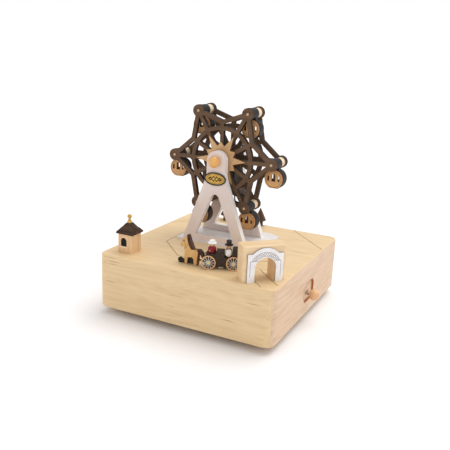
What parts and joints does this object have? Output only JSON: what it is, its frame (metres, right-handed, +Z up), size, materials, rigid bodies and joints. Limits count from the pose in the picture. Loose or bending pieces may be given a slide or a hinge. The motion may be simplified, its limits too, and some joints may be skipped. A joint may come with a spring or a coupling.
{
  "type": "wind-up ferris wheel music box",
  "caption": "Square wooden music box with a turning ferris wheel on A-frames, a horse carriage that circles the top, a gate, a house, trees and a side stop knob.",
  "frame": {"origin": "centre of the face it stands on, at table height", "axes": "+Z up, -Y the front of the wheel, +X the side with the stop knob"},
  "size_m": [0.139, 0.1302, 0.1425],
  "materials": {
    "pale_wood": "oiled beech, fine straight grain",
    "panel_board": "plain plywood",
    "honey_wood": "stained beech, satin",
    "orange_wood": "stained beech ball, satin",
    "dark_wood": "dark stained wood, satin",
    "gondola_wood": "light wood front on a dark shell",
    "horse_wood": "stained wood, satin",
    "white_paint": "silvery white paint",
    "white_card": "white painted wood",
    "black_paint": "black painted wood",
    "mane_paint": "dark brown painted wood",
    "gold_paint": "gold painted wood",
    "doll_paint": "painted turned wood",
    "black_metal": "black wire and strip",
    "black_plastic": "moulded plastic",
    "brass": "turned brass",
    "plated_steel": "nickel plated steel",
    "ring_steel": "plain steel ring",
    "spring_steel": "hardened spring steel",
    "screw_steel": "zinc plated steel",
    "magnet": "nickel plated magnets",
    "belt_rubber": "black rubber",
    "pad_rubber": "thin ribbed rubber sheet"
  },
  "bodies": {
    "block": {"base_block": "pale_wood", "bottom_panel": "panel_board", "small_screws": "screw_steel", "bedplate": "plated_steel", "comb": "spring_steel", "roller_bracket": "plated_steel", "ring_posts": "panel_board", "frame_plate": "white_paint", "front_frame": "white_paint", "rear_frame": "white_paint", "axle_bushes": "brass", "badge_rim": "black_paint", "badge_face": "gold_paint", "gate_block": "pale_wood", "gate_arch": "white_card", "house_body": "pale_wood", "house_window": "black_paint", "house_roof": "dark_wood", "house_finial": "gold_paint", "fir_trees": "dark_wood", "drive_belt": "belt_rubber"},
    "wheel": {"wheel_axle": "plated_steel", "axle_caps": "orange_wood", "front_star": "dark_wood", "rear_star": "dark_wood", "sunburst": "honey_wood", "hub_spacers": "dark_wood", "gondola_pins": "pale_wood", "pin_spacers": "pale_wood", "axle_pulley": "black_plastic"},
    "carriage": {"carriage_body": "black_paint", "driver": "doll_paint", "passenger": "doll_paint", "horse": "horse_wood", "mane_and_tail": "mane_paint", "horse_truck": "black_metal", "road_magnets": "magnet"},
    "front_wheelset": {"front_wheels": "gold_paint"},
    "rear_wheelset": {"rear_wheels": "gold_paint"},
    "guide": {"guide_wheel": "brass"},
    "ring": {"magnet_ring": "ring_steel", "ring_magnets": "magnet"},
    "spindle": {"spring_barrel": "plated_steel", "output_spindle": "plated_steel"},
    "idler": {"idler_wheel": "black_plastic"},
    "cylinder": {"pinned_cylinder": "brass"},
    "governor_shaft": {"governor": "plated_steel"},
    "roller": {"friction_roller": "belt_rubber", "roller_shaft": "plated_steel"},
    "winding_base": {"turntable": "panel_board", "grip_pad": "pad_rubber", "key_shaft": "plated_steel"},
    "stop_knob": {"knob_ball": "orange_wood", "stop_slider": "plated_steel"},
    "gondola_1_body": {"gondola_1": "gondola_wood"},
    "gondola_2_body": {"gondola_2": "gondola_wood"},
    "gondola_3_body": {"gondola_3": "gondola_wood"},
    "gondola_4_body": {"gondola_4": "gondola_wood"},
    "gondola_5_body": {"gondola_5": "gondola_wood"},
    "gondola_6_body": {"gondola_6": "gondola_wood"}
  },
  "joints": [
    {"name": "ring_spin", "type": "hinge", "parent": "block", "child": "ring", "pos_m": [0, 0, 0.0334], "axis": [0, 0, 1], "continuous": true},
    {"name": "carriage_orbit", "type": "hinge", "parent": "block", "child": "carriage", "pos_m": [0, 0, 0.0436], "axis": [0, 0, 1], "continuous": true},
    {"name": "spindle_spin", "type": "hinge", "parent": "block", "child": "spindle", "pos_m": [0, 0, 0.02], "axis": [0, 0, 1], "continuous": true},
    {"name": "idler_spin", "type": "hinge", "parent": "block", "child": "idler", "pos_m": [-0.026, 0, 0.0345], "axis": [0, 0, 1], "continuous": true},
    {"name": "roller_spin", "type": "hinge", "parent": "block", "child": "roller", "pos_m": [0, 0.02, 0.023], "axis": [0, 1, 0], "continuous": true},
    {"name": "wheel_spin", "type": "hinge", "parent": "block", "child": "wheel", "pos_m": [-0.0076, 0, 0.1048], "axis": [0, 1, 0], "continuous": true},
    {"name": "cylinder_spin", "type": "hinge", "parent": "block", "child": "cylinder", "pos_m": [0, -0.0155, 0.02], "axis": [1, 0, 0], "continuous": true},
    {"name": "governor_spin", "type": "hinge", "parent": "block", "child": "governor_shaft", "pos_m": [0.018, -0.002, 0.015], "axis": [0, 0, 1], "continuous": true},
    {"name": "winding_turn", "type": "hinge", "parent": "block", "child": "winding_base", "pos_m": [0, 0, 0], "axis": [0, 0, 1], "continuous": true},
    {"name": "knob_slide", "type": "slide", "parent": "block", "child": "stop_knob", "axis": [0, 1, 0], "range_m": [0, 0.0045]},
    {"name": "front_wheels_roll", "type": "hinge", "parent": "carriage", "child": "front_wheelset", "pos_m": [0.01184, -0.04884, 0.04835], "axis": [0.3891, -0.9212, 0], "continuous": true},
    {"name": "rear_wheels_roll", "type": "hinge", "parent": "carriage", "child": "rear_wheelset", "pos_m": [0.02676, -0.04254, 0.04835], "axis": [0.3891, -0.9212, 0], "continuous": true},
    {"name": "guide_wheel_roll", "type": "hinge", "parent": "carriage", "child": "guide", "pos_m": [-0.00883, -0.04952, 0.04535], "axis": [-0.0087, -1, 0], "continuous": true},
    {"name": "gondola_1_swing", "type": "hinge", "parent": "wheel", "child": "gondola_1_body", "pos_m": [0.0307, 0.0105, 0.10527], "axis": [0, 1, 0], "continuous": true},
    {"name": "gondola_2_swing", "type": "hinge", "parent": "wheel", "child": "gondola_2_body", "pos_m": [0.01114, 0.0105, 0.1382], "axis": [0, 1, 0], "continuous": true},
    {"name": "gondola_3_swing", "type": "hinge", "parent": "wheel", "child": "gondola_3_body", "pos_m": [-0.02715, 0.0105, 0.13773], "axis": [0, 1, 0], "continuous": true},
    {"name": "gondola_4_swing", "type": "hinge", "parent": "wheel", "child": "gondola_4_body", "pos_m": [-0.0459, 0.0105, 0.10433], "axis": [0, 1, 0], "continuous": true},
    {"name": "gondola_5_swing", "type": "hinge", "parent": "wheel", "child": "gondola_5_body", "pos_m": [-0.02634, 0.0105, 0.0714], "axis": [0, 1, 0], "continuous": true},
    {"name": "gondola_6_swing", "type": "hinge", "parent": "wheel", "child": "gondola_6_body", "pos_m": [0.01195, 0.0105, 0.07187], "axis": [0, 1, 0], "continuous": true}
  ],
  "couplings": [
    {"joint": "carriage_orbit", "follows": "ring_spin", "ratio": 1},
    {"joint": "spindle_spin", "follows": "ring_spin", "ratio": -4.2},
    {"joint": "idler_spin", "follows": "ring_spin", "ratio": 2.625},
    {"joint": "roller_spin", "follows": "ring_spin", "ratio": 12.6},
    {"joint": "wheel_spin", "follows": "ring_spin", "ratio": 4.68},
    {"joint": "cylinder_spin", "follows": "ring_spin", "ratio": -6.72},
    {"joint": "governor_spin", "follows": "ring_spin", "ratio": 25.2},
    {"joint": "front_wheels_roll", "follows": "ring_spin", "ratio": -10.442},
    {"joint": "rear_wheels_roll", "follows": "ring_spin", "ratio": -10.442},
    {"joint": "guide_wheel_roll", "follows": "ring_spin", "ratio": -28.343},
    {"joint": "gondola_1_swing", "follows": "ring_spin", "ratio": -4.68},
    {"joint": "gondola_2_swing", "follows": "ring_spin", "ratio": -4.68},
    {"joint": "gondola_3_swing", "follows": "ring_spin", "ratio": -4.68},
    {"joint": "gondola_4_swing", "follows": "ring_spin", "ratio": -4.68},
    {"joint": "gondola_5_swing", "follows": "ring_spin", "ratio": -4.68},
    {"joint": "gondola_6_swing", "follows": "ring_spin", "ratio": -4.68}
  ]
}
